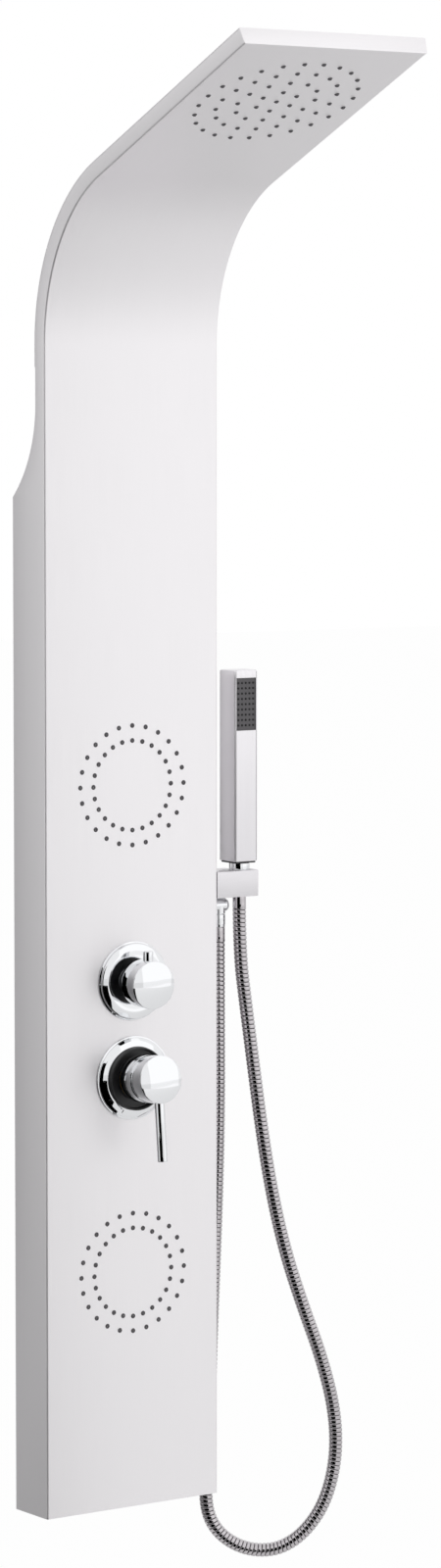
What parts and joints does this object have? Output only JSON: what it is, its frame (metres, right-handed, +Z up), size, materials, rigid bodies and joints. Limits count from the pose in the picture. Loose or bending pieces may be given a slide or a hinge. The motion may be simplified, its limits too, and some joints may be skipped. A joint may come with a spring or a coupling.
{
  "type": "shower panel column",
  "caption": "Wall-hung shower panel: bent metal column with overhead spray, body jets, diverter, lever mixer and a handset on a free metal hose.",
  "frame": {"origin": "midway between the two upper wall screws, on the wall plane, 960 mm above the column's bottom edge", "axes": "+Y into the wall, +Z up, +X to the right of someone facing the panel"},
  "size_m": [0.3481, 0.4231, 1.5321],
  "materials": {
    "panel_steel": "fine brushed",
    "plated_steel": "zinc plated",
    "nozzle_rubber": "matt",
    "moulded_plastic": "moulded",
    "raw_brass": "cast and turned",
    "chrome_plate": "polished",
    "satin_chrome": "satin",
    "hose_rubber": "braided cover"
  },
  "bodies": {
    "root": {"column_shell": "panel_steel", "arm_back_cover": "panel_steel", "arm_end_cap": "panel_steel", "upper_wall_plate": "plated_steel", "lower_wall_plate": "plated_steel", "upper_cross_bar": "plated_steel", "lower_cross_bar": "plated_steel", "head_chamber": "moulded_plastic", "head_nozzle_mat": "nozzle_rubber", "upper_jet_manifold": "moulded_plastic", "upper_jet_nozzle_mat": "nozzle_rubber", "lower_jet_manifold": "moulded_plastic", "lower_jet_nozzle_mat": "nozzle_rubber", "mixer_body": "raw_brass", "mixer_clamp_nut": "moulded_plastic", "mixer_cartridge": "moulded_plastic", "mixer_cartridge_nut": "raw_brass", "mixer_escutcheon": "chrome_plate", "diverter_body": "raw_brass", "diverter_clamp_nut": "raw_brass", "diverter_cartridge": "raw_brass", "diverter_gland_nut": "raw_brass", "diverter_escutcheon": "chrome_plate", "link_pipe": "raw_brass", "link_nuts": "raw_brass", "hot_inlet": "raw_brass", "cold_inlet": "raw_brass", "inlet_check_valves": "moulded_plastic", "head_feed_hose": "hose_rubber", "upper_jet_feed_hose": "hose_rubber", "lower_jet_feed_hose": "hose_rubber", "elbow_feed_pipe": "hose_rubber", "feed_hose_nuts": "raw_brass", "feed_hose_ferrules": "plated_steel", "elbow_outlet": "chrome_plate", "elbow_lock_nut": "raw_brass", "elbow_washer": "nozzle_rubber", "handset_holder": "satin_chrome", "holder_screws": "plated_steel", "shower_hose": "chrome_plate", "hose_supply_nut": "chrome_plate"},
    "diverter_set": {"diverter_spindle": "raw_brass", "diverter_knob": "chrome_plate", "diverter_knob_pin": "chrome_plate", "diverter_grub_screw": "plated_steel"},
    "mixer_spindle": {"mixer_rotor": "raw_brass", "mixer_pivot_pin": "plated_steel"},
    "mixer_lever": {"mixer_stem": "raw_brass", "mixer_handle": "chrome_plate", "mixer_lever_pin": "chrome_plate", "mixer_grub_screw": "plated_steel"},
    "hose_end": {"hose_ferrule": "chrome_plate"},
    "handset": {"handset_cone_nut": "chrome_plate", "handset_body": "satin_chrome", "handset_face_plate": "satin_chrome", "handset_nozzle_mat": "nozzle_rubber", "handset_spray_chamber": "moulded_plastic", "handset_water_tube": "moulded_plastic", "handset_base_plug": "moulded_plastic", "hose_washer": "nozzle_rubber"}
  },
  "joints": [
    {"name": "diverter_turn", "type": "hinge", "parent": "root", "child": "diverter_set", "pos_m": [0, -0.053, -0.424], "axis": [0, -1, 0], "continuous": true},
    {"name": "mixer_turn", "type": "hinge", "parent": "root", "child": "mixer_spindle", "pos_m": [0, -0.053, -0.522], "axis": [0, -1, 0], "range_deg": [-45, 45]},
    {"name": "mixer_lift", "type": "hinge", "parent": "mixer_spindle", "child": "mixer_lever", "pos_m": [0, -0.058, -0.522], "axis": [-1, 0, 0], "range_deg": [0, 12]},
    {"name": "handset_lift", "type": "slide", "parent": "root", "child": "hose_end", "axis": [0, 0, 1], "range_m": [0, 0.06]},
    {"name": "handset_turn", "type": "hinge", "parent": "hose_end", "child": "handset", "pos_m": [0.1366, -0.0365, -0.3276], "axis": [0, 0, 1], "continuous": true}
  ]
}
